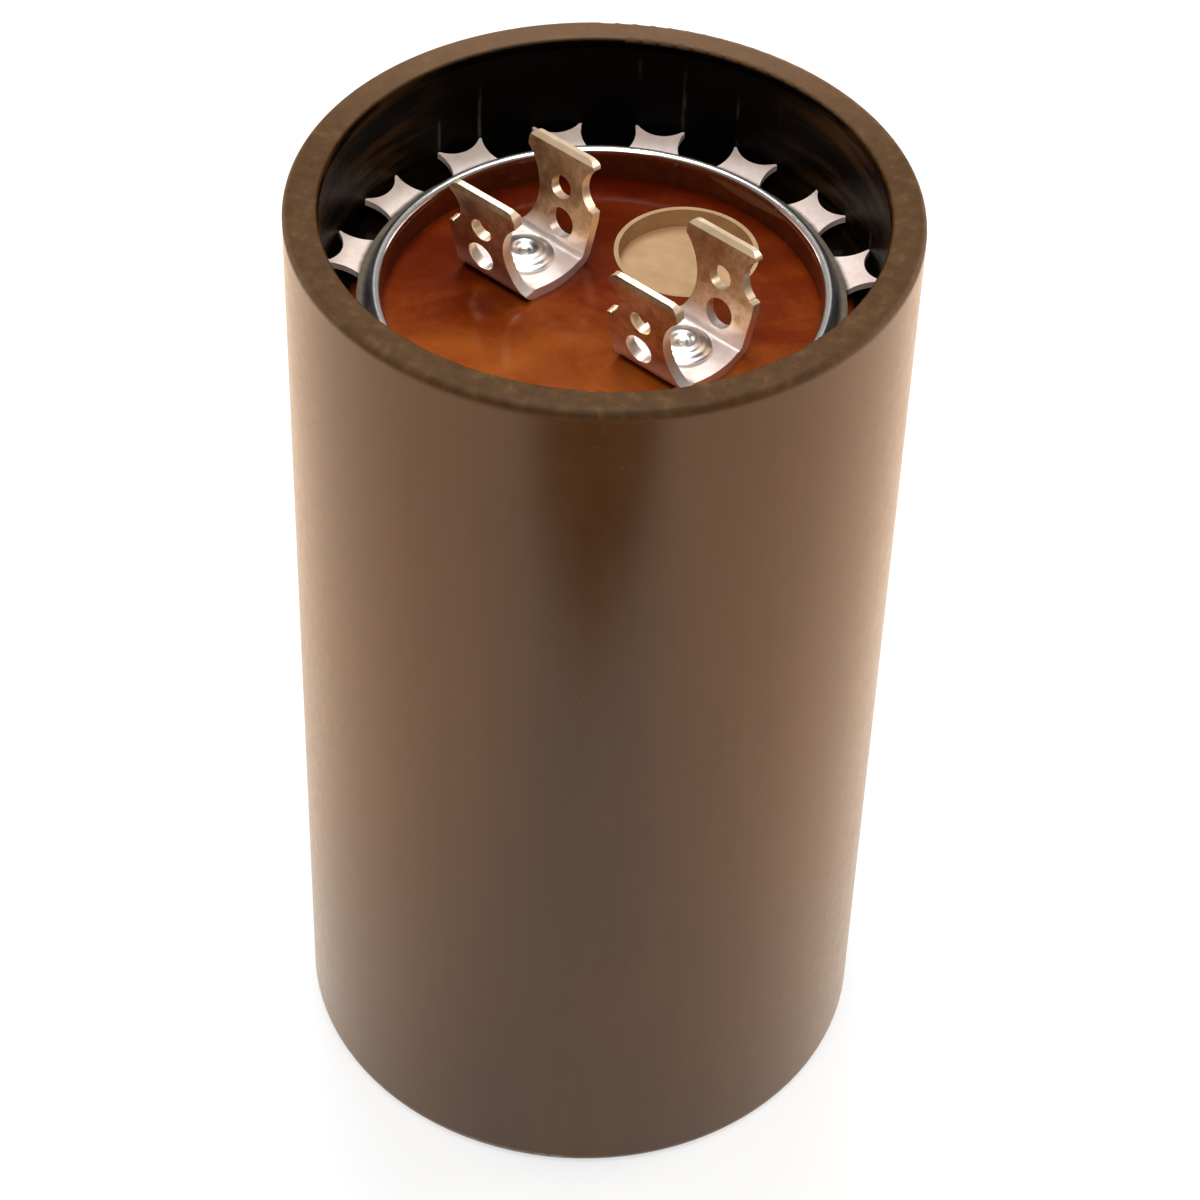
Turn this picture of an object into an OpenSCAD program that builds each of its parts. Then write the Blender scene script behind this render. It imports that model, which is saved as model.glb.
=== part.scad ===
// Motor start capacitor: a round moulded phenolic can with a recessed cover,
// a toothed push-in retaining ring and two riveted twin-blade terminals.
// Millimetres. The origin is the centre of the can's underside, +Z points up to the open mouth.

/* [Case] */
// Outside diameter of the can
case_d = 46.04; // [43:0.01:58]
// Height of the can, underside to rim
case_h = 81.4; // [66:0.1:110]
// Wall thickness at the mouth, above the ledge
mouth_wall = 2.56; // [2:0.01:3.2]
// Width of the ledge that carries the gasket and cover
ledge_w = 1.2; // [0.9:0.05:1.6]
// Thickness of the closed end
floor_t = 3.5; // [2.5:0.1:5]
// Rounding of the rim's outer edge
rim_round = 0.6; // [0.3:0.05:0.9]
// Rounding of the rim's inner edge
lip_round = 0.35; // [0.2:0.05:0.8]
// Rounding of the bottom edge
foot_round = 1.1; // [0.5:0.1:2]
// Fillet between the inside wall and the floor
floor_fillet = 1.2; // [0.6:0.1:2]

/* [Cover] */
// Depth of the cover's top face below the rim
cover_depth = 9.65; // [9.4:0.05:13]
// Thickness of the cover's rim
cover_t = 3.2; // [2.6:0.1:4]
// Length of the spigot under the cover
spigot_h = 2; // [1.2:0.1:3]
// Thickness of the rubber gasket
gasket_t = 1.6; // [1:0.1:2.2]

/* [Vent] */
// Diameter of the vent's recess
vent_d = 11; // [8.8:0.1:11.8]
// Distance from the vent's recess to the retaining ring's opening
vent_margin = 1.1; // [0.6:0.1:1.5]
// Depth of the vent plug's face below the cover's face
vent_recess = 1.6; // [0.6:0.1:2]
// Thickness of the vent plug's flange
vent_flange = 1; // [0.6:0.1:1.2]
// Thickness of the vent plug's upright lip
vent_lip = 0.35; // [0.3:0.05:0.6]
// Diameter of the hole that the vent plug's stem fills
vent_stem_d = 5.6; // [3.6:0.1:6.8]

/* [Retaining ring] */
// Thickness of the ring's sheet
ring_t = 0.5; // [0.35:0.05:0.6]
// Inside radius of the bend between the folded edge and the teeth
ring_bend_r = 0.5; // [0.3:0.05:0.6]
// Length of a tooth, bend to tip
tooth_len = 2.54; // [2.1:0.01:2.8]
// Height of the ring's folded inner edge above the cover
hem_h = 2.45; // [2:0.05:3]
// Height of the teeth's root, top face, above the cover
root_h = 1.35; // [1:0.05:1.5]
// Height of the teeth's tip, top face, above the cover
tip_h = 1.85; // [1.6:0.05:2.4]
// Number of teeth
tooth_count = 16; // [12:1:18]
// Width of a tooth at its root
tooth_root_w = 4.1; // [3.4:0.1:4.8]
// Width of a tooth at its waist
tooth_waist_w = 3.4; // [2.8:0.1:4]
// Width of a tooth across its two horns
tooth_tip_w = 4; // [3.4:0.1:4.8]
// Depth of the notch between a tooth's horns
tooth_notch = 0.8; // [0.5:0.05:1]

/* [Terminals] */
// Distance between the two terminals' centres
pitch = 15.42; // [14.6:0.01:18.4]
// Direction of the line through both terminals, from +X
terminal_angle = -40.5; // [-90:0.5:90]
// Thickness of the terminals' sheet
blade_t = 0.81; // [0.6:0.01:0.95]
// Width of a blade at its tip
blade_w = 6.35; // [5.2:0.01:7.6]
// Length of a blade along its outer face, from the cover
blade_len = 8.7; // [7.6:0.1:9.2]
// Distance between a terminal's two outer faces at the cover
blade_gap = 6.98; // [6.4:0.01:8.4]
// Outward lean of each blade
blade_lean = 8.4; // [0:0.1:10]
// Inside radius of the bends
bend_r = 0.6; // [0.4:0.05:0.8]
// Width of the base plate at the bends
base_w = 6.7; // [6.4:0.1:7.2]
// How far the base plate's side edges bulge
base_bulge = 0.3; // [0.1:0.05:0.5]
// Half width of a blade at its shoulder
shoulder_x = 3.65; // [3.5:0.05:4.2]
// Height of the shoulder along the blade
shoulder_y = 4.7; // [4:0.1:5.2]
// Radius of the round cut above the shoulder
neck_cut_r = 1.9; // [1.6:0.1:2.2]
// Depth of that cut
neck_cut = 0.85; // [0.5:0.05:1]
// Height of that cut's centre along the blade
neck_cut_y = 6.4; // [6.2:0.1:6.7]
// Radius of the round cut in a blade's other edge
side_cut_r = 4.3; // [3.6:0.1:5.2]
// Depth of the side cut
side_cut = 1.55; // [0.8:0.05:1.8]
// Height of the side cut's centre along the blade
side_cut_y = 4.1; // [3.8:0.1:4.6]
// Diameter of the upper hole in a blade
upper_hole_d = 1.9; // [1.4:0.05:2.2]
// Height of the upper hole along the blade
upper_hole_y = 5.35; // [5.2:0.05:6]
// Sideways offset of the upper hole, towards the shoulder
upper_hole_x = 0.4; // [0:0.05:0.8]
// Diameter of the lower hole in a blade
lower_hole_d = 2.4; // [1.8:0.05:2.6]
// Height of the lower hole along the blade
lower_hole_y = 2.5; // [2.4:0.05:2.8]
// Sideways offset of the lower hole, towards the shoulder
lower_hole_x = 0.8; // [0.2:0.05:1]

/* [Rivets and leads] */
// Diameter of the rivets' shank
rivet_d = 3.2; // [2.6:0.1:3.6]
// Diameter of the rivets' top head
rivet_head_d = 4.5; // [4.2:0.1:4.6]
// Height of the rivets' top head
rivet_head_h = 0.9; // [0.7:0.05:1.3]
// Diameter of the hollow in the rivets' top head
rivet_dimple_d = 2.3; // [1.4:0.1:2.8]
// Diameter of the washers inside the can
washer_d = 7; // [5.6:0.1:8]
// Thickness of the washers inside the can
washer_t = 0.7; // [0.5:0.1:1]
// Height of the rivets' clinched lower head
clinch_h = 1; // [0.7:0.1:1.3]
// Width of the lead ribbons
lead_w = 5; // [4.6:0.1:6]
// Thickness of the lead ribbons
lead_t = 0.3; // [0.2:0.05:0.4]
// How far a lead reaches down into the winding
lead_buried = 10; // [6:0.5:16]

/* [Winding] */
// Diameter of the hole that the winding mandrel leaves
mandrel_d = 5; // [3:0.1:7]
// Thickness of the kraft wrap around the winding
wrap_t = 0.5; // [0.3:0.05:0.8]
// Thickness of the pad under the winding
bottom_pad_t = 1.2; // [0.8:0.1:2]
// Thickness of the pad on the winding
top_pad_t = 1; // [0.6:0.1:1.6]
// Free height between the top pad and the rivets
head_space = 4.8; // [3:0.1:7]

/* [Hidden] */
$fn = 96;

// Clearances
cover_gap = 0.15;       // cover to mouth, on the radius
spigot_gap = 0.3;       // spigot to bore, on the radius
gasket_gap = 0.1;       // gasket to mouth and spigot, on the radius
wrap_gap = 0.6;         // wrap to bore, on the radius
roll_gap = 0.05;        // winding and pads inside the wrap, on the radius
rivet_gap = 0.05;       // rivet shank in its holes, on the radius
vent_gap = 0.05;        // vent plug in its recess, on the radius
tooth_gap = 0.02;       // tooth tips to the mouth, on the radius
slot_gap = 0.15;        // lead in its slots, on each side
lead_gap = 1.5;         // lead's upright run to the washer's edge
cut_over = 1;           // how far a cut runs past a face

// Radii, from the outside in
case_r = case_d / 2;
mouth_r = case_r - mouth_wall;
bore_r = mouth_r - ledge_w;
cover_r = mouth_r - cover_gap;
spigot_r = bore_r - spigot_gap;
wrap_r = bore_r - wrap_gap;
roll_r = wrap_r - wrap_t - roll_gap;

// Heights, from the rim down
cover_z = case_h - cover_depth;
shoulder_z = cover_z - cover_t;
ledge_z = shoulder_z - gasket_t;
spigot_z = shoulder_z - spigot_h;
lead_z = spigot_z - lead_t;
washer_z = lead_z - washer_t;
clinch_z = washer_z - clinch_h;
roll_z = floor_t + bottom_pad_t;
roll_top_z = clinch_z - head_space - top_pad_t;
wrap_over = 0.5;        // how far the wrap stands above the winding

// Retaining ring, from the teeth's tips inwards
tooth_tip_r = mouth_r - tooth_gap;
tooth_root_r = tooth_tip_r - tooth_len;
tooth_rise = atan((tip_h - root_h) / tooth_len);
tooth_tuck = 0.1;       // flat strip that the teeth's roots share, beyond the bend
hem_out_r = tooth_root_r - 2 * tooth_tuck - ring_bend_r * (1 + sin(tooth_rise));
hem_r = hem_out_r - 2 * ring_t;
tooth_side_r = 3;       // radius of a tooth's concave sides
horn_w = 0.2;           // half width of a horn's blunt end
tooth_mid_r = (tooth_root_r + tooth_tip_r) / 2;

// Terminals
bend_out_r = bend_r + blade_t;
bend_turn = 90 - blade_lean;
bend_run = bend_out_r * tan(bend_turn / 2);
base_half = blade_gap / 2 - bend_run;
bend_steps = 10;        // flats along each bend
shoulder_h = 1;         // straight height of the shoulder's edge
tip_round = 0.8;        // rounding of a blade's top corners
tip_bevel = 0.18;       // depth of the bevel along a blade's tip
tip_bevel_len = 0.45;   // length of that bevel
trim_past = 0.2;        // how far a blade's trim runs past its inner face

// Rivets and leads
hole_r = rivet_d / 2 + rivet_gap;
head_edge = 0.25;       // straight edge of a rivet's head
dimple_depth = 0.5;     // depth of the hollow in it
lead_exit = pitch / 2 + washer_d / 2 + lead_t + lead_gap;
fold_r = 1;             // inside radius of a lead's fold

// Vent plug
vent_r = vent_d / 2;
vent_offset = hem_r - vent_margin - vent_r;
vent_stem_r = vent_stem_d / 2;
vent_bead_over = 0.7;   // how far the bead stands out round the stem
vent_bead_h = 0.8;      // height of that bead
flange_z = cover_z - vent_recess - vent_flange;

// A quarter-round corner to cut from a profile, with the corner at the origin
module corner(r) {
    difference() {
        translate([-cut_over, -cut_over]) square(r + cut_over);
        translate([r, r]) circle(r);
    }
}

// Material that fills an inside corner at the origin with a fillet
module fillet(r) {
    difference() {
        square(r);
        translate([r, r]) circle(r);
    }
}

// A dome of base radius r and height h, as a half profile
module dome(r, h) {
    dome_r = (r * r + h * h) / (2 * h);
    intersection() {
        translate([0, h - dome_r]) circle(dome_r, $fn = 2 * $fn);
        square([r, h]);
    }
}

// Puts a child at a terminal: side is -1 on the left and 1 on the right
module at_terminal(side) {
    rotate([0, 0, terminal_angle])
        translate([side * pitch / 2, 0, 0])
            children();
}

// Moulded phenolic cup
module case_cup() {
    color([0.30, 0.24, 0.20])
    rotate_extrude()
    union() {
        difference() {
            square([case_r, case_h]);
            translate([0, floor_t]) square([bore_r, case_h]);
            translate([0, ledge_z]) square([mouth_r, case_h]);
            translate([case_r, 0]) mirror([1, 0]) corner(foot_round);
            translate([case_r, case_h]) rotate(180) corner(rim_round);
            translate([mouth_r, case_h]) mirror([0, 1]) corner(lip_round);
        }
        translate([bore_r, floor_t]) mirror([1, 0]) fillet(floor_fillet);
    }
}

// Fibre pad that the winding stands on
module bottom_pad() {
    color([0.72, 0.60, 0.42])
    translate([0, 0, floor_t])
        cylinder(r = bore_r - floor_fillet - roll_gap, h = bottom_pad_t);
}

// Upright slot for a lead, from the winding's top face
module lead_slots(z, h) {
    for (side = [-1, 1])
        rotate([0, 0, terminal_angle])
            translate([side * (lead_exit - lead_t / 2), 0, z + h / 2])
                cube([lead_t + 2 * slot_gap, lead_w + 2 * slot_gap, h], center = true);
}

// Foil and paper roll, one solid with its mandrel hole and the two lead slots
module winding_roll() {
    color([0.80, 0.74, 0.62])
    difference() {
        translate([0, 0, roll_z]) cylinder(r = roll_r, h = roll_top_z - roll_z);
        translate([0, 0, roll_z - cut_over])
            cylinder(d = mandrel_d, h = roll_top_z - roll_z + 2 * cut_over);
        lead_slots(roll_top_z - lead_buried, lead_buried + cut_over);
    }
}

// Kraft wrap that holds the roll closed
module winding_wrap() {
    color([0.66, 0.50, 0.32])
    translate([0, 0, roll_z])
    difference() {
        cylinder(r = wrap_r, h = roll_top_z - roll_z + wrap_over);
        translate([0, 0, -cut_over])
            cylinder(r = wrap_r - wrap_t, h = roll_top_z - roll_z + wrap_over + 2 * cut_over);
    }
}

// Pad on top of the winding, with a slot for each lead
module top_pad() {
    color([0.74, 0.62, 0.44])
    difference() {
        translate([0, 0, roll_top_z]) cylinder(r = roll_r, h = top_pad_t);
        lead_slots(roll_top_z - cut_over, top_pad_t + 2 * cut_over);
    }
}

// Side view of a lead: x runs outwards from the rivet's axis, y is height
module lead_profile() {
    exit_x = lead_exit - pitch / 2;
    fold_x = exit_x - lead_t - fold_r;
    fold_y = lead_z - fold_r;
    translate([-washer_d / 2, lead_z]) square([washer_d / 2 + fold_x, lead_t]);
    translate([fold_x, fold_y])
    intersection() {
        difference() {
            circle(fold_r + lead_t);
            circle(fold_r);
        }
        square(fold_r + lead_t);
    }
    translate([exit_x - lead_t, roll_top_z - lead_buried])
        square([lead_t, fold_y - roll_top_z + lead_buried]);
}

// Aluminium ribbon from the winding to the underside of the cover
module lead(side) {
    color([0.80, 0.80, 0.82])
    at_terminal(side)
    rotate([0, 0, side > 0 ? 0 : 180])
    difference() {
        rotate([90, 0, 0])
            linear_extrude(lead_w, center = true) lead_profile();
        translate([0, 0, lead_z - cut_over])
            cylinder(r = hole_r, h = lead_t + 2 * cut_over);
    }
}

// Rubber ring between the case's ledge and the cover
module gasket() {
    color([0.12, 0.12, 0.12])
    translate([0, 0, ledge_z])
    difference() {
        cylinder(r = mouth_r - gasket_gap, h = gasket_t);
        translate([0, 0, -cut_over])
            cylinder(r = spigot_r + gasket_gap, h = gasket_t + 2 * cut_over);
    }
}

// Phenolic cover with its spigot, rivet holes and vent recess
module cover() {
    color([0.45, 0.17, 0.06])
    difference() {
        union() {
            translate([0, 0, shoulder_z]) cylinder(r = cover_r, h = cover_t);
            translate([0, 0, spigot_z]) cylinder(r = spigot_r, h = spigot_h + cover_t / 2);
        }
        for (side = [-1, 1])
            at_terminal(side)
                translate([0, 0, spigot_z - cut_over])
                    cylinder(r = hole_r, h = cover_t + spigot_h + 2 * cut_over);
        rotate([0, 0, terminal_angle])
        translate([0, vent_offset, 0]) {
            translate([0, 0, flange_z])
                cylinder(r = vent_r, h = vent_recess + vent_flange + cut_over);
            translate([0, 0, spigot_z - cut_over])
                cylinder(r = vent_stem_r, h = cover_t + spigot_h);
        }
    }
}

// Rubber pressure-relief plug: flange with an upright lip, stem and a bead below the cover
module vent_plug() {
    color([0.80, 0.66, 0.46])
    rotate([0, 0, terminal_angle])
    translate([0, vent_offset, 0]) {
        difference() {
            translate([0, 0, flange_z])
                cylinder(r = vent_r - vent_gap, h = vent_flange + vent_recess);
            translate([0, 0, flange_z + vent_flange])
                cylinder(r = vent_r - vent_gap - vent_lip, h = vent_recess + cut_over);
        }
        translate([0, 0, spigot_z - vent_bead_h / 2])
            cylinder(r = vent_stem_r - vent_gap, h = flange_z - spigot_z + vent_bead_h);
        translate([0, 0, spigot_z - vent_bead_h])
            cylinder(r = vent_stem_r + vent_bead_over, h = vent_bead_h);
    }
}

// Point on a terminal's sheet, at height s along the blade and depth inset below its outer face
function sheet_point(s, inset) = [
    blade_gap / 2 + s * sin(blade_lean) - inset * cos(blade_lean),
    s * cos(blade_lean) + inset * sin(blade_lean)
];

// Points along a bend of radius r
function bend_points(r) = [
    for (i = [0 : bend_steps])
        let (a = bend_turn * i / bend_steps)
            [base_half + r * sin(a), bend_out_r - r * cos(a)]
];

// Edge view of one half of the bent sheet, from the base plate's underside round the tip
function half_sheet() = concat(
    bend_points(bend_out_r),
    [sheet_point(blade_len - tip_bevel_len, 0), sheet_point(blade_len, tip_bevel),
        sheet_point(blade_len, blade_t - tip_bevel), sheet_point(blade_len - tip_bevel_len, blade_t)],
    reverse(bend_points(bend_r))
);

function reverse(list) = [for (i = [len(list) - 1 : -1 : 0]) list[i]];

// Edge view of the whole bent sheet
module sheet_section() {
    half = half_sheet();
    polygon(concat(half, [for (p = reverse(half)) [-p[0], p[1]]]));
}

// Flat outline of one blade: x is across it, with the shoulder on +x, y runs up from the cover
module blade_outline() {
    difference() {
        union() {
            polygon([[-base_w / 2, 0], [base_w / 2, 0], [base_w / 2, bend_run],
                [shoulder_x, shoulder_y - shoulder_h], [shoulder_x, shoulder_y],
                [-blade_w / 2, shoulder_y], [-base_w / 2, bend_run]]);
            difference() {
                translate([-blade_w / 2, shoulder_y - shoulder_h])
                    square([blade_w, blade_len - shoulder_y + shoulder_h]);
                translate([blade_w / 2, blade_len]) rotate(180) corner(tip_round);
                translate([-blade_w / 2, blade_len]) mirror([0, 1]) corner(tip_round);
            }
        }
        translate([-blade_w / 2 - side_cut_r + side_cut, side_cut_y]) circle(side_cut_r);
        translate([blade_w / 2 + neck_cut_r - neck_cut, neck_cut_y]) circle(neck_cut_r);
    }
}

// What is stamped away around a blade and through it, on the terminal's +Y side
module blade_waste() {
    side = 2 * cut_over;
    translate([0, blade_gap / 2, 0])
    rotate([90 - blade_lean, 0, 0])
    translate([0, 0, -cut_over]) {
        linear_extrude(blade_t + cut_over + trim_past)
        difference() {
            translate([-shoulder_x - side, bend_run / 2])
                square([2 * (shoulder_x + side), blade_len + side]);
            blade_outline();
        }
        linear_extrude(blade_t + 2 * cut_over) {
            translate([upper_hole_x, upper_hole_y]) circle(d = upper_hole_d);
            translate([lower_hole_x, lower_hole_y]) circle(d = lower_hole_d);
        }
    }
}

// Plan of the base plate, with its bulging side edges
module base_plan() {
    bulge_r = (base_half * base_half + base_bulge * base_bulge) / (2 * base_bulge);
    square([base_w, 2 * blade_gap], center = true);
    for (turn = [0, 180])
        rotate(turn)
        intersection() {
            translate([base_w / 2 + base_bulge - bulge_r, 0]) circle(bulge_r, $fn = 2 * $fn);
            translate([0, -base_half]) square([base_w, 2 * base_half]);
        }
}

// Stamped twin-blade terminal: one bent sheet, trimmed to its outlines
module terminal(side) {
    strip_w = 2 * (shoulder_x + base_bulge);
    bend_end = bend_run * cos(blade_lean);
    color([0.86, 0.74, 0.58])
    at_terminal(side)
    translate([0, 0, cover_z])
    difference() {
        rotate([90, 0, 90]) linear_extrude(strip_w, center = true) sheet_section();
        for (turn = [0, 180])
            rotate([0, 0, turn]) blade_waste();
        translate([0, 0, -cut_over])
        linear_extrude(bend_end + cut_over)
        difference() {
            square([strip_w + cut_over, 2 * blade_gap + cut_over], center = true);
            base_plan();
        }
        translate([0, 0, -cut_over])
            cylinder(r = hole_r, h = blade_t + 2 * cut_over);
    }
}

// Rivet through terminal, cover, lead and washer, with a hollow in its top head
module rivet(side) {
    head_z = cover_z + blade_t;
    color([0.84, 0.80, 0.78])
    at_terminal(side)
    rotate_extrude()
    difference() {
        union() {
            translate([0, clinch_z]) square([rivet_d / 2, head_z - clinch_z]);
            translate([0, head_z]) square([rivet_head_d / 2, head_edge]);
            translate([0, head_z + head_edge]) dome(rivet_head_d / 2, rivet_head_h - head_edge);
            translate([0, washer_z]) mirror([0, 1]) dome(rivet_head_d / 2, clinch_h);
        }
        translate([0, head_z + rivet_head_h]) mirror([0, 1]) dome(rivet_dimple_d / 2, dimple_depth);
    }
}

// Flat washer under the lead
module washer(side) {
    color([0.70, 0.70, 0.70])
    at_terminal(side)
    translate([0, 0, washer_z])
    difference() {
        cylinder(d = washer_d, h = washer_t);
        translate([0, 0, -cut_over])
            cylinder(r = hole_r, h = washer_t + 2 * cut_over);
    }
}

// Height of the teeth's top face at radius r
function tooth_top(r) = root_h + (r - tooth_root_r) * tan(tooth_rise);

// Points along the ring's bend at radius r from its centre, from the upright leg outwards
function ring_bend(r) = [
    for (i = [0 : bend_steps])
        let (a = 180 + (90 + tooth_rise) * i / bend_steps,
            x = hem_out_r + ring_bend_r)
            [x + r * cos(a), tooth_top(x) + ring_bend_r / cos(tooth_rise) + r * sin(a)]
];

// Half profile of the sloping sheet that the teeth are cut from
module tooth_sheet(from) {
    drop = ring_t / cos(tooth_rise);
    polygon([[from, tooth_top(from) - drop], [tooth_tip_r, tip_h - drop],
        [tooth_tip_r, tip_h], [from, tooth_top(from)]]);
}

// Plan of one tooth, pointing along +X: concave sides and a notch that leaves two horns
module tooth_outline() {
    half_notch = tooth_tip_w / 2 - horn_w;
    notch_r = (half_notch * half_notch + tooth_notch * tooth_notch) / (2 * tooth_notch);
    start = tooth_root_r - tooth_tuck;
    reach = tooth_tip_r + cut_over;
    difference() {
        polygon([[start, -tooth_root_w / 2], [reach, -tooth_tip_w / 2],
            [reach, tooth_tip_w / 2], [start, tooth_root_w / 2]]);
        for (s = [-1, 1])
            translate([tooth_mid_r, s * (tooth_waist_w / 2 + tooth_side_r)])
                circle(tooth_side_r);
        translate([tooth_tip_r - tooth_notch + notch_r, 0]) circle(notch_r);
    }
}

// Half profile of the ring inside the teeth: folded edge, bend and the flat that carries the teeth
module ring_body() {
    hem_top = hem_h - ring_t;
    drop = ring_t / cos(tooth_rise);
    translate([hem_r, 0]) square([ring_t, hem_top]);
    intersection() {
        translate([hem_r + ring_t, hem_top]) circle(ring_t);
        translate([hem_r, hem_top]) square([2 * ring_t, ring_t]);
    }
    polygon(concat(
        [[hem_out_r - ring_t, hem_top]],
        ring_bend(ring_bend_r + ring_t),
        [[tooth_root_r, root_h - drop], [tooth_root_r, root_h]],
        reverse(ring_bend(ring_bend_r)),
        [[hem_out_r, hem_top]]
    ));
}

// Stamped push-in ring: folded inner edge, bend and teeth that grip the case's wall
module retaining_ring() {
    color([0.88, 0.82, 0.78])
    translate([0, 0, cover_z]) {
        rotate_extrude() ring_body();
        intersection() {
            rotate_extrude() tooth_sheet(tooth_root_r - tooth_tuck);
            linear_extrude(hem_h)
                for (i = [0 : tooth_count - 1])
                    rotate(90 + (i + 0.5) * 360 / tooth_count) tooth_outline();
        }
    }
}

case_cup();
bottom_pad();
winding_roll();
winding_wrap();
top_pad();
lead(-1);  // lead_left
lead(1);  // lead_right
gasket();
cover();
vent_plug();
terminal(-1);  // terminal_left
terminal(1);  // terminal_right
rivet(-1);  // rivet_left
rivet(1);  // rivet_right
washer(-1);  // washer_left
washer(1);  // washer_right
retaining_ring();
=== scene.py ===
"""Motor start capacitor: looks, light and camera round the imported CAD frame."""

import math

import bpy
from mathutils import Matrix, Vector

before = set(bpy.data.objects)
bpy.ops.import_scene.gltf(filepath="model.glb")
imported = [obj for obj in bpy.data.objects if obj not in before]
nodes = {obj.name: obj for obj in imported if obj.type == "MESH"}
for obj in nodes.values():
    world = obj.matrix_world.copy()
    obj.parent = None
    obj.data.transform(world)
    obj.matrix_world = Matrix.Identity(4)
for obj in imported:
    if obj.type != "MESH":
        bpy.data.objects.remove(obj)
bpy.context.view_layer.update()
scene = bpy.context.scene

MM = 0.001
MOUTH_R = 20.46 * MM  # bore of the can's mouth
RIM_Z = 81.4 * MM
COVER_Z = 71.75 * MM  # the cover's top face
RIVET_X, RIVET_Y = 5.8627 * MM, 5.0072 * MM
ACROSS = (0.6494, 0.7604)  # the way the blades' faces look, in x and y
TEETH = 16
TOOTH_TIP_Z = 73.6 * MM
HORN_ANGLE = math.radians(5.0)  # from the middle of a tooth to a horn
SCRAPE_WIDTH = (0.002, 0.010)  # half of it, in radians, as (solid, gone)

# where one look turns into the next, as (start, end): heights in z
RIM_BAND = (RIM_Z - 0.9 * MM, RIM_Z - 0.35 * MM)
SCRAPE_FOOT_BAND = (TOOTH_TIP_Z, TOOTH_TIP_Z + 0.4 * MM)
SCRAPE_TOP_BAND = (TOOTH_TIP_Z + 3.5 * MM, TOOTH_TIP_Z + 6.5 * MM)
BLADE_FOOT_BAND = (COVER_Z + 1.3 * MM, COVER_Z + 2.6 * MM)
# along y and either way along x
RIM_BACK_SHEEN_BAND = (6 * MM, 20 * MM)
RUB_AND_SHEEN_BAND = (11.5 * MM, 17.0 * MM)
# and radii, from the can's axis
LIP_BAND = (MOUTH_R + 0.02 * MM, MOUTH_R + 0.22 * MM)
COVER_EDGE_SHADE_BAND = (17.9 * MM, 18.7 * MM)
HEM_GLOSS_BAND = (16.18 * MM, 16.34 * MM)
HEM_WALL_BAND = (16.22 * MM, 16.38 * MM)
HEM_CREST_BAND = (16.50 * MM, 16.72 * MM)
RING_BEND_SHADE_BAND = (17.25 * MM, 17.55 * MM)
RING_BEND_BAND = (17.90 * MM, 18.20 * MM)
# shares
WHOLE = (0.0, 1.0)
MIDDLE_BAND = (0.3, 0.7)  # where most values of a noise lie


# ---------------------------------------------------------------- node helpers
class Tree:
    """A small wrapper that keeps node code short."""

    def __init__(self, owner):
        owner.use_nodes = True
        self.nodes = owner.node_tree.nodes
        self.links = owner.node_tree.links
        self.nodes.clear()

    def node(self, kind, **settings):
        n = self.nodes.new("ShaderNode" + kind)
        for key, value in settings.items():
            setattr(n, key, value)
        return n

    def put(self, socket, value):
        if isinstance(value, bpy.types.NodeSocket):
            self.links.new(value, socket)
        else:
            socket.default_value = value

    def fill(self, n, *values):
        for socket, value in zip(n.inputs, values):
            self.put(socket, value)
        return n.outputs[0]

    def math(self, op, *values, clamp=False):
        return self.fill(self.node("Math", operation=op, use_clamp=clamp), *values)

    def add(self, a, b):
        return self.math("ADD", a, b)

    def sub(self, a, b, clamp=False):
        return self.math("SUBTRACT", a, b, clamp=clamp)

    def mul(self, a, b):
        return self.math("MULTIPLY", a, b)

    def blend(self, a, share_a, b, share_b):
        return self.add(self.mul(a, share_a), self.mul(b, share_b))

    def split(self, vector):
        n = self.node("SeparateXYZ")
        self.put(n.inputs[0], vector)
        return n.outputs

    def span(self, value, band, low=0.0, high=1.0):
        """value over the band to low..high, clamped"""
        return self.fill(self.node("MapRange"), value, *band, low, high)

    def ramp(self, fac, *stops):
        n = self.node("ValToRGB")
        self.put(n.inputs[0], fac)
        elements = n.color_ramp.elements
        while len(elements) < len(stops):
            elements.new(0.5)
        for element, (position, colour) in zip(elements, stops):
            element.position = position
            element.color = (*colour, 1)
        return n.outputs[0]

    def mix(self, fac, a, b):
        n = self.node("Mix", data_type="RGBA")
        self.put(n.inputs[0], fac)
        for i, colour in ((6, a), (7, b)):
            self.put(n.inputs[i], (*colour, 1) if isinstance(colour, tuple) else colour)
        return n.outputs[2]


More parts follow.
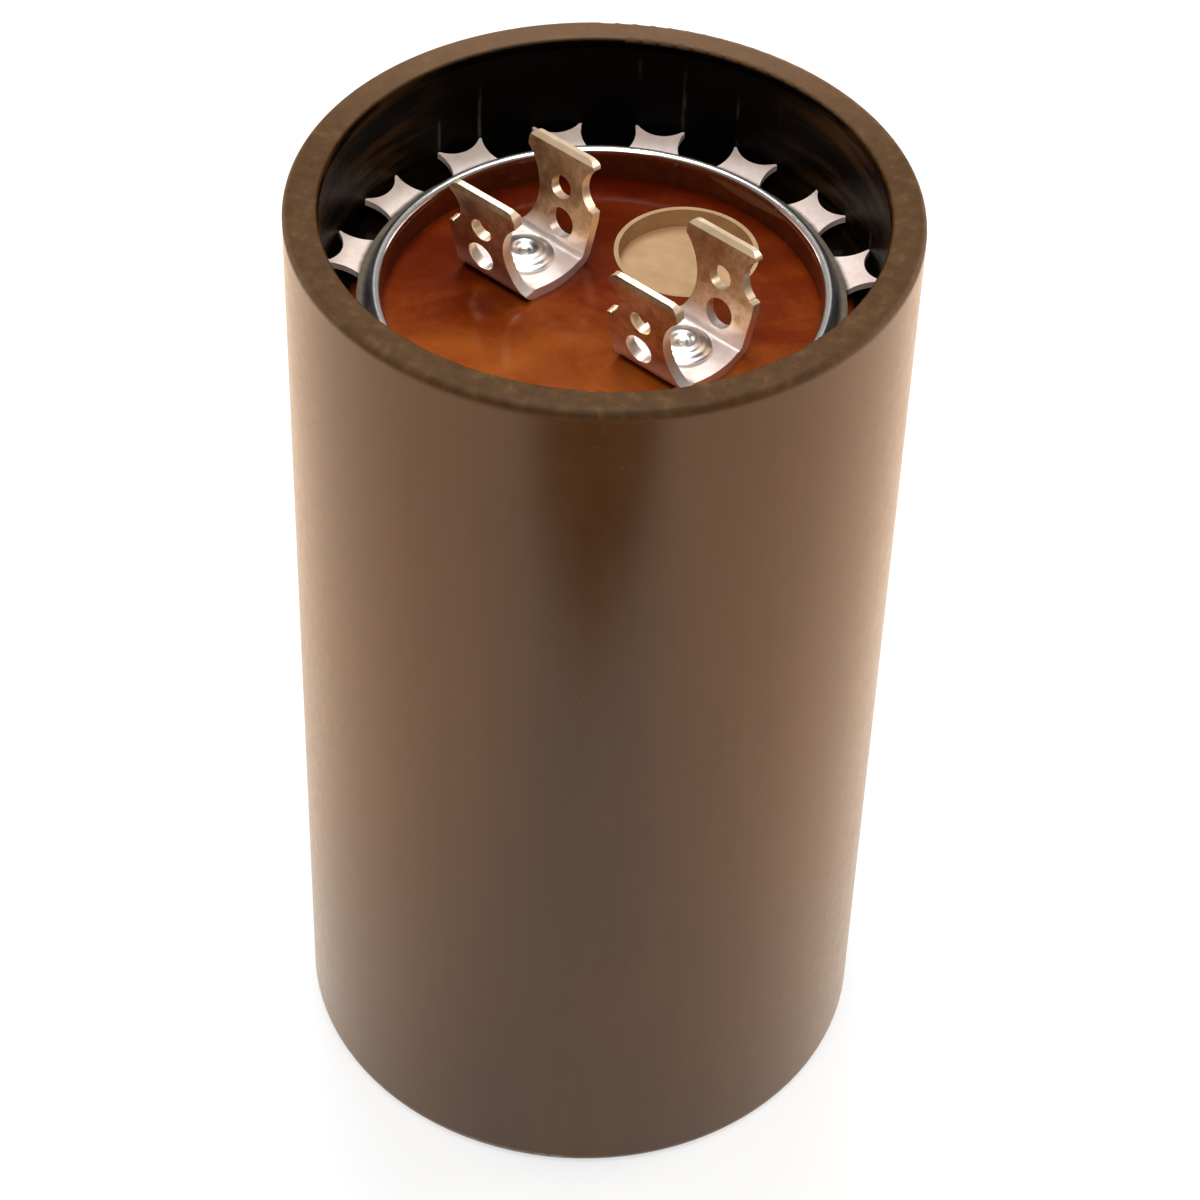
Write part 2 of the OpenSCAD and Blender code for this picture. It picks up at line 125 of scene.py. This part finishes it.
class Look(Tree):
    """A Principled material with noise in object space."""

    def __init__(self, name):
        self.mat = bpy.data.materials.new(name)
        super().__init__(self.mat)
        self.bsdf = self.node("BsdfPrincipled")
        self.put(self.node("OutputMaterial").inputs["Surface"], self.bsdf.outputs[0])
        self.coord = self.node("TexCoord").outputs["Object"]

    def set(self, colour, roughness, **others):
        self.put(self.bsdf.inputs["Base Color"], colour)
        self.put(self.bsdf.inputs["Roughness"], roughness)
        for key, value in others.items():
            self.put(self.bsdf.inputs[key], value)

    def bump(self, height, strength, distance):
        n = self.node("Bump")
        n.inputs["Strength"].default_value = strength
        n.inputs["Distance"].default_value = distance
        self.put(n.inputs["Height"], height)
        self.put(self.bsdf.inputs["Normal"], n.outputs[0])

    def noise(self, scale, detail=4.0, rough=0.55, distort=0.0):
        """One scale, or three for a grain that is stretched along an axis"""
        n = self.node("TexNoise")
        vector = self.coord
        if isinstance(scale, tuple):
            stretch = self.node("Mapping")
            stretch.inputs["Scale"].default_value = scale
            self.put(stretch.inputs["Vector"], self.coord)
            vector, scale = stretch.outputs[0], 1.0
        self.put(n.inputs["Vector"], vector)
        n.inputs["Scale"].default_value = scale
        n.inputs["Detail"].default_value = detail
        n.inputs["Roughness"].default_value = rough
        n.inputs["Distortion"].default_value = distort
        return n.outputs["Fac"]

    def length(self, x, y):
        return self.math("SQRT", self.add(self.mul(x, x), self.mul(y, y)))

    def place(self):
        """x, y, z and the distance from the can's axis"""
        x, y, z = self.split(self.coord)
        return x, y, z, self.length(x, y)


def dress(name, look):
    """Put a material on every slot of a CAD node."""
    mesh = nodes[name].data
    if not mesh.materials:
        mesh.materials.append(look.mat)
    for i in range(len(mesh.materials)):
        mesh.materials[i] = look.mat


# ---------------------------------------------------------------- materials
def horn_scrapes(g, x, y, z):
    """Scrapes that the ring's horns left on the wall as it was pushed in."""
    step = 2 * math.pi / TEETH
    angle = g.math("ARCTAN2", y, x)
    wobble = g.mul(g.sub(g.noise(300, 2), 0.5), 0.012)
    local = g.math("PINGPONG", g.add(g.add(angle, wobble), 4 * math.pi), step / 2)
    off = g.math("ABSOLUTE", g.sub(g.sub(step / 2, local), HORN_ANGLE))
    scrape = g.span(off, SCRAPE_WIDTH, 1.0, 0.0)
    patchy = g.span(g.noise((420, 420, 90), 3, 0.6), (0.50, 0.62))
    above = g.span(z, SCRAPE_FOOT_BAND)
    fade = g.span(z, SCRAPE_TOP_BAND, 1.0, 0.0)
    for share in (patchy, above, fade):
        scrape = g.mul(scrape, share)
    return scrape


def phenolic_case():
    g = Look("phenolic_case_look")
    x, y, z, r = g.place()
    outside = g.span(r, LIP_BAND)
    inside = g.sub(1.0, outside)
    rim = g.span(z, RIM_BAND)
    cloud = g.noise(38, 5, 0.6)
    fine = g.noise(900, 3, 0.6)
    streak = g.noise((260, 260, 26), 4, 0.6)

    # outer skin, and the rubbed land of the rim, with painted sheen that makes it paler at the back
    skin = g.ramp(
        g.blend(cloud, 0.6, streak, 0.4),
        (0.30, (0.108, 0.036, 0.0052)),
        (0.52, (0.138, 0.048, 0.0078)),
        (0.72, (0.172, 0.064, 0.012)),
    )
    land = g.ramp(
        g.noise((900, 900, 200), 5, 0.7),
        (0.32, (0.060, 0.027, 0.009)),
        (0.55, (0.086, 0.041, 0.014)),
        (0.75, (0.132, 0.069, 0.028)),
    )
    # painted sheen: the land turns paler towards the back, along y
    land = g.mix(g.span(y, RIM_BACK_SHEEN_BAND, 0.0, 0.55), land, (0.190, 0.108, 0.060))
    skin = g.mix(rim, skin, land)

    # painted shade: the wall inside the mouth is the same phenolic painted near black, with brown rub marks
    # round its left and right that also carry painted sheen
    painted_dark_wall = g.ramp(cloud, (0.3, (0.0015, 0.0012, 0.0012)), (0.75, (0.005, 0.0035, 0.0025)))
    # brown rub marks, partly real rubbing and partly painted sheen, only on the left and right of the wall
    beside = g.span(g.math("ABSOLUTE", x), RUB_AND_SHEEN_BAND)
    rub = g.span(g.noise((70, 70, 560), 4, 0.65), (0.46, 0.62))
    painted_dark_wall = g.mix(g.mul(rub, beside), painted_dark_wall, (0.050, 0.021, 0.007))
    scrape = g.mul(horn_scrapes(g, x, y, z), inside)
    wall = g.mix(g.mul(scrape, 0.6), painted_dark_wall, (0.16, 0.135, 0.10))

    rough_out = g.span(g.blend(cloud, 0.5, fine, 0.5), MIDDLE_BAND, 0.20, 0.30)
    rough_out = g.add(rough_out, g.mul(rim, 0.28))
    rough_in = g.add(g.span(streak, MIDDLE_BAND, 0.34, 0.46), g.mul(scrape, 0.2))
    gloss = g.sub(g.span(outside, WHOLE, 0.05, 0.40), g.mul(rim, 0.30), clamp=True)
    g.set(
        g.mix(outside, wall, skin),
        g.blend(rough_out, outside, rough_in, inside),
        **{"IOR": 1.52, "Specular IOR Level": gloss},
    )
    g.bump(g.mul(g.blend(fine, 0.12, streak, 0.65), outside), 0.10, 0.00006)
    return g


def phenolic_cover():
    """Glossy moulding with a mottled tone, and painted shade that makes it darker and redder towards the
    vent, as y grows.
    """
    g = Look("phenolic_cover_look")
    _, y, _, r = g.place()
    cloud = g.noise(95, 5, 0.6, distort=0.4)
    tone = g.blend(cloud, 0.75, g.noise(1500, 2, 0.5), 0.25)
    swirl = g.noise((70, 130, 70), 3, 0.55, distort=1.2)
    # mottled swirl, plus painted shade: the tone falls as y grows, darker and redder towards the back
    mottle_and_back_shade = g.sub(g.math("MULTIPLY_ADD", swirl, 0.32, 0.105), g.mul(y, 12.0))
    face = g.ramp(
        g.add(mottle_and_back_shade, g.math("MULTIPLY_ADD", tone, 0.30, 0.075)),
        (0.30, (0.060, 0.004, 0.0006)),
        (0.46, (0.150, 0.019, 0.0018)),
        (0.66, (0.34, 0.078, 0.009)),
    )
    # painted shade: the cover turns near black at its edge, between the ring's teeth
    colour = g.mix(g.span(r, COVER_EDGE_SHADE_BAND), face, (0.004, 0.002, 0.0015))
    g.set(colour, g.span(cloud, MIDDLE_BAND, 0.09, 0.18), IOR=1.45)
    g.bump(g.noise(260, 3), 0.10, 0.00008)
    return g


def plated(name, dark, light, rough, brush=(900, 900, 900)):
    """Plain metal with a brushed grain and a few tarnish spots."""
    g = Look(name)
    grain = g.noise(brush, 3, 0.6)
    tone = g.blend(g.noise(210, 5, 0.65), 0.6, grain, 0.4)
    spots = g.span(g.noise(520, 4, 0.7), (0.66, 0.78), 0.0, 0.8)
    g.set(
        g.mix(spots, g.ramp(tone, (0.32, dark), (0.68, light)), (0.30, 0.17, 0.07)),
        g.add(g.span(tone, MIDDLE_BAND, *rough), g.mul(spots, 0.2)),
        Metallic=1.0,
    )
    g.bump(grain, 0.12, 0.00005)
    return g


def rivet_plate(side):
    """Bright formed head with the faint turned rings that the setting tool leaves."""
    g = Look("plated_rivet_look_" + side)
    x, y, _ = g.split(g.coord)
    sign = -1 if side == "left" else 1
    r = g.length(g.sub(x, sign * RIVET_X), g.add(y, sign * RIVET_Y))
    cloud = g.noise(600, 4, 0.6)
    ring_pitch, ring_wobble, dimple_edge = 0.42 * MM, 0.1 * MM, 1.15 * MM
    lip_band, hollow_shade_band = (0.05 * MM, 0.28 * MM), (0.35 * MM, 0.60 * MM)
    turned = g.math("SINE", g.mul(g.add(r, g.mul(cloud, ring_wobble)), 2 * math.pi / ring_pitch))
    lip = g.span(g.math("ABSOLUTE", g.sub(r, dimple_edge)), lip_band, 1.0, 0.0)
    bright = g.ramp(cloud, (0.3, (0.80, 0.75, 0.72)), (0.7, (0.97, 0.95, 0.94)))
    # painted shade: the head darkens to olive in the hollow at its centre
    bright = g.mix(g.span(r, hollow_shade_band, 0.75, 0.0), bright, (0.30, 0.25, 0.14))
    colour = g.mix(g.mul(lip, 0.45), bright, (0.42, 0.34, 0.28))
    g.set(colour, g.span(cloud, MIDDLE_BAND, 0.26, 0.38), Metallic=1.0)
    g.bump(turned, 0.35, 0.00004)
    return g


def blade_plate():
    """Tinned brass: tarnished sheet faces, cut edges made brighter as bare brass with painted highlight, and
    a bright base under the rivet.
    """
    g = Look("tinned_brass_look")
    _, _, z = g.split(g.coord)
    nx, ny, _ = g.split(g.node("NewGeometry").outputs["Normal"])
    facing = g.math("ABSOLUTE", g.blend(nx, ACROSS[0], ny, ACROSS[1]))
    face = g.span(facing, (0.86, 0.95))
    base = g.span(z, BLADE_FOOT_BAND, 1.0, 0.0)
    cloud = g.noise(330, 6, 0.68)
    dots = g.span(g.noise(1500, 3, 0.6), (0.52, 0.66))
    tarnish = g.ramp(
        cloud,
        (0.34, (0.36, 0.19, 0.085)),
        (0.52, (0.62, 0.38, 0.20)),
        (0.70, (0.88, 0.63, 0.40)),
    )
    tarnish = g.mix(g.mul(dots, 0.30), tarnish, (0.20, 0.11, 0.055))
    # cut edges: bare brass, partly a painted highlight on every edge facing away from the faces
    cut_edge_and_highlight = g.ramp(cloud, (0.3, (0.96, 0.69, 0.43)), (0.7, (1.0, 0.81, 0.58)))
    silver = g.ramp(cloud, (0.3, (0.90, 0.73, 0.65)), (0.7, (1.0, 0.89, 0.83)))
    g.set(
        g.mix(base, g.mix(face, cut_edge_and_highlight, tarnish), silver),
        g.add(g.span(cloud, MIDDLE_BAND, 0.30, 0.42), g.mul(dots, 0.08)),
        Metallic=0.70,
    )
    g.bump(g.add(cloud, g.mul(dots, -0.4)), 0.25, 0.00005)
    return g


def ring_plate():
    """Frosted plating on the teeth and a bright crest on the folded edge, with painted reflection of the
    cover on the hem's inner wall and painted shade on the bead's outer half and in the bend.
    """
    g = Look("plated_ring_look")
    *_, r = g.place()
    cloud = g.noise(260, 5, 0.65)
    grain = g.noise(1500, 3, 0.6)
    tone = g.blend(cloud, 0.55, grain, 0.45)
    ragged = g.add(r, g.mul(g.sub(cloud, 0.5), 0.5 * MM))
    past_crest = g.span(r, HEM_CREST_BAND)
    # painted reflection: the hem's inner wall, facing the cover, is coloured dark red like it
    colour = g.ramp(tone, (0.32, (0.080, 0.014, 0.004)), (0.68, (0.150, 0.030, 0.008)))
    for past, low, high in (
        (g.span(r, HEM_WALL_BAND), (0.32, (0.80, 0.73, 0.64)), (0.68, (1.0, 0.96, 0.90))),
        # past the crest: painted shade, near black, on the bead's outer half that faces the black wall
        (past_crest, (0.32, (0.018, 0.018, 0.021)), (0.70, (0.050, 0.048, 0.050))),
        # painted shade in the bend between the bead and the teeth
        (g.span(ragged, RING_BEND_SHADE_BAND), (0.32, (0.050, 0.038, 0.024)), (0.70, (0.150, 0.110, 0.065))),
        (g.span(ragged, RING_BEND_BAND), (0.32, (0.80, 0.61, 0.51)), (0.60, (0.92, 0.75, 0.66))),
    ):
        colour = g.mix(past, colour, g.ramp(tone, low, high))
    stain = g.span(g.noise(640, 4, 0.7), (0.66, 0.76), 0.0, 0.5)
    g.set(
        g.mix(stain, colour, (0.42, 0.30, 0.20)),
        g.add(g.span(past_crest, WHOLE, 0.09, 0.52), g.span(tone, MIDDLE_BAND, -0.02, 0.04)),
        Metallic=g.sub(g.span(r, HEM_GLOSS_BAND, 0.25, 0.75), g.mul(past_crest, 0.50)),
    )
    g.bump(g.mul(grain, past_crest), 0.15, 0.00004)
    return g


def plain(name, dark, light, rough, scale, bump=0.2):
    g = Look(name)
    grain = g.noise(scale, 4, 0.6)
    g.set(g.ramp(grain, (0.3, dark), (0.7, light)), g.span(grain, MIDDLE_BAND, *rough))
    g.bump(grain, bump, 0.00008)
    return g


def wound():
    """Edges of the wound foil and paper, as fine rings on the roll's two ends."""
    g = Look("foil_and_paper_look")
    x, y, _, r = g.place()
    turns = g.mul(g.add(r, g.mul(g.math("ARCTAN2", y, x), 0.00004)), 4000)
    edge = g.math("ABSOLUTE", g.sub(g.math("FRACT", turns), 0.5))
    mottle = g.noise(400, 4)
    colour = g.ramp(
        g.blend(edge, 0.9, mottle, 0.5),
        (0.25, (0.36, 0.29, 0.18)),
        (0.6, (0.62, 0.55, 0.42)),
    )
    g.set(colour, g.span(mottle, MIDDLE_BAND, 0.55, 0.8))
    g.bump(edge, 0.4, 0.0001)
    return g


blade_look = blade_plate()
zinc_look = plated("zinc_steel_look", (0.50, 0.50, 0.51), (0.68, 0.68, 0.69), (0.30, 0.42))
lead_look = plated(
    "aluminium_lead_look", (0.70, 0.71, 0.73), (0.88, 0.89, 0.90), (0.22, 0.34), (3000, 3000, 300)
)
rubber_look = plain("tan_rubber_look", (0.40, 0.225, 0.095), (0.52, 0.315, 0.15), (0.42, 0.60), 420, 0.15)
gasket_look = plain("black_rubber_look", (0.012, 0.012, 0.012), (0.03, 0.03, 0.03), (0.55, 0.75), 900)
board_look = plain(
    "fibre_board_look", (0.30, 0.19, 0.09), (0.50, 0.35, 0.19), (0.7, 0.9), (900, 120, 900), 0.4
)
wrap_look = plain("kraft_wrap_look", (0.24, 0.13, 0.06), (0.36, 0.21, 0.10), (0.6, 0.8), (500, 500, 90), 0.3)
dress("case_cup", phenolic_case())
dress("cover", phenolic_cover())
dress("retaining_ring", ring_plate())
for side in ("left", "right"):
    dress("terminal_" + side, blade_look)
    dress("rivet_" + side, rivet_plate(side))
    dress("washer_" + side, zinc_look)
    dress("lead_" + side, lead_look)
dress("vent_plug", rubber_look)
dress("gasket", gasket_look)
dress("bottom_pad", board_look)
dress("top_pad", board_look)
dress("winding_wrap", wrap_look)
dress("winding_roll", wound())


# ---------------------------------------------------------------- stage
def flat_sheet(name, corners, z, material):
    mesh = bpy.data.meshes.new(name)
    mesh.from_pydata([(x, y, z) for x, y in corners], [], [tuple(range(len(corners)))])
    mesh.materials.append(material)
    obj = bpy.data.objects.new(name, mesh)
    scene.collection.objects.link(obj)
    return obj


def floor_paper():
    """Pale paper, white to the camera, that keeps the shadow under the object."""
    near_glow, far_glow, glow_band = 0.68, 1.05, (0.12, 0.45)
    material = bpy.data.materials.new("floor_paper")
    t = Tree(material)
    path = t.node("LightPath").outputs
    spot = t.node("TexCoord").outputs["Object"]
    away = t.node("VectorMath", operation="LENGTH")
    t.put(away.inputs[0], spot)
    seen = t.math("MAXIMUM", path["Is Camera Ray"], path["Is Glossy Ray"])
    # painted reflection: beside the can the paper glows warm to glossy rays only, which tints the can's
    # glossy sides
    aside = t.math("ABSOLUTE", t.split(spot)[0])
    warm_reflection_glow = t.ramp(aside, (0.012, (1.00, 1.00, 0.90)), (0.050, (1.86, 1.26, 0.76)))
    glow = t.node("Emission")
    reach = t.span(away.outputs["Value"], glow_band, near_glow, far_glow)
    t.put(glow.inputs["Color"], t.mix(path["Is Camera Ray"], warm_reflection_glow, (1, 1, 1)))
    t.put(glow.inputs["Strength"], t.mul(seen, reach))
    diffuse = t.node("BsdfDiffuse")
    diffuse.inputs["Color"].default_value = (0.38, 0.38, 0.38, 1)
    both = t.fill(t.node("AddShader"), diffuse.outputs[0], glow.outputs[0])
    t.put(t.node("OutputMaterial").inputs["Surface"], both)
    return material


FLOOR_REACH = 2.0
floor_outline = [(x * FLOOR_REACH, y * FLOOR_REACH) for x, y in ((-1, -1), (1, -1), (1, 1), (-1, 1))]
flat_sheet("floor", floor_outline, 0.0, floor_paper())

# painted reflection: a dark card in front of the can, seen only by glossy rays, puts a dark shape low on the
# can's wall
reflection_card_material = bpy.data.materials.new("dark_reflection_card_look")
reflection_card_material.use_nodes = True
reflection_card_shader = reflection_card_material.node_tree.nodes["Principled BSDF"].inputs
reflection_card_shader["Base Color"].default_value = (0.01, 0.008, 0.006, 1)
reflection_card_shader["Specular IOR Level"].default_value = 0.0
reflection_card_outline = ((-3, -84), (-40, -103), (-70, -190), (70, -190), (40, -103), (3, -84))
dark_reflection_card = flat_sheet("dark_reflection_card", [(x * MM, y * MM) for x, y in reflection_card_outline], 0.4 * MM, reflection_card_material)
dark_reflection_card.visible_camera = dark_reflection_card.visible_diffuse = dark_reflection_card.visible_shadow = False

# ---------------------------------------------------------------- world
# white to the camera, a soft room to the object
world = bpy.data.worlds.new("room")
scene.world = world
w = Tree(world)
height = w.split(w.node("TexCoord").outputs["Generated"])[2]
sky = w.ramp(height, (0.05, (0.36, 0.35, 0.34)), (0.50, (0.07, 0.07, 0.07)))
room = w.fill(w.node("Background"), sky, 1.0)
white = w.fill(w.node("Background"), (1, 1, 1, 1), 1.0)
both = w.fill(w.node("MixShader"), w.node("LightPath").outputs["Is Camera Ray"], room, white)
w.put(w.node("OutputWorld").inputs["Surface"], both)


# ---------------------------------------------------------------- lamps
def lamp(name, place, aim, size, watts, colour=(1, 1, 1)):
    data = bpy.data.lights.new(name, "AREA")
    data.shape = "RECTANGLE"
    data.size, data.size_y = size
    data.energy = watts
    data.color = colour
    obj = bpy.data.objects.new(name, data)
    scene.collection.objects.link(obj)
    obj.location = place
    obj.rotation_mode = "QUATERNION"
    obj.rotation_quaternion = (Vector(aim) - Vector(place)).to_track_quat("-Z", "Y")


MIDDLE, MOUTH = (0, 0, 0.05), (0, 0.012, 0.072)
WARM, COOL = (1.0, 0.95, 0.88), (0.78, 0.89, 1.0)
lamp("softbox_left", (-0.60, 0.26, 0.22), MIDDLE, (0.45, 0.38), 2.6, WARM)
lamp("softbox_right", (0.60, 0.26, 0.22), MIDDLE, (0.45, 0.38), 3.4, WARM)
lamp("top_panel", (0.0, 0.06, 0.75), MIDDLE, (0.5, 0.5), 1.3)
lamp("back_panel", (0.0, 0.34, 0.66), MIDDLE, (0.28, 0.20), 1.5)
lamp("front_panel", (0.0, -0.24, 0.66), MIDDLE, (0.30, 0.20), 1.7)
lamp("window", (-0.05, 0.16, 0.64), MOUTH, (0.11, 0.05), 0.85, COOL)

# ---------------------------------------------------------------- camera
ELEVATION, ROLL = math.radians(43.607), math.radians(2.0366)
back = Vector((0, -math.cos(ELEVATION), math.sin(ELEVATION)))
right, up = Vector((1, 0, 0)), Vector((0, math.sin(ELEVATION), math.cos(ELEVATION)))
cam_x = right * math.cos(ROLL) + up * math.sin(ROLL)
cam_y = up * math.cos(ROLL) - right * math.sin(ROLL)
cam_place = Vector((0.637, -201.762, 234.549)) * MM
cam_data = bpy.data.cameras.new("camera")
cam_data.sensor_fit = "HORIZONTAL"
cam_data.sensor_width = 36.0
cam_data.lens = 105.91
cam_data.clip_start, cam_data.clip_end = 0.01, 10
cam = bpy.data.objects.new("camera", cam_data)
scene.collection.objects.link(cam)
cam.matrix_world = Matrix.Translation(cam_place) @ Matrix((cam_x, cam_y, back)).transposed().to_4x4()
scene.camera = cam

scene.view_settings.view_transform = "Standard"
